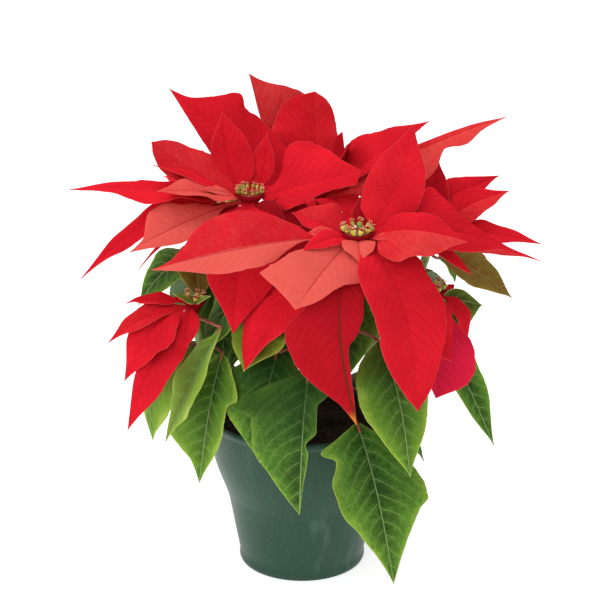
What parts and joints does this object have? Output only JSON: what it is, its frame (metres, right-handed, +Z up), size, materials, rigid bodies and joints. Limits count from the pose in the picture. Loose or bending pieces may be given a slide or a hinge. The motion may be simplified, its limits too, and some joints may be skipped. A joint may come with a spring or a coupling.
{
  "type": "potted poinsettia",
  "caption": "Branched poinsettia with red bracts in spreading layers round small cup flowers, green leaves hanging below, in a plain flared green plastic pot.",
  "frame": {"origin": "middle of the pot's flat underside, on the surface that it stands on", "axes": "+Z up, -Y towards the front, +X to the right of the front"},
  "size_m": [0.3921, 0.3603, 0.4001],
  "materials": {
    "pot_green": "semi-matt moulded plastic, teal green",
    "soil": "dark damp peat",
    "leaf_green": "satin leaf, dark green with yellow-green edges",
    "bract_red": "satin leaf, bright red with fine veins",
    "cyathia": "waxy yellow-green cups with red tips"
  },
  "bodies": {
    "root": {"pot": "pot_green", "soil": "soil", "plant": "leaf_green", "bracts_front_right": "bract_red", "bracts_front_left": "bract_red", "bracts_back": "bract_red", "bracts_right": "bract_red", "bracts_low_left": "bract_red", "bracts_low_right": "bract_red", "bracts_back_left": "bract_red", "cyathia_front_right": "cyathia", "cyathia_front_left": "cyathia", "cyathia_back": "cyathia", "cyathia_right": "cyathia", "cyathia_low_left": "cyathia", "cyathia_low_right": "cyathia", "cyathia_back_left": "cyathia"}
  },
  "joints": []
}
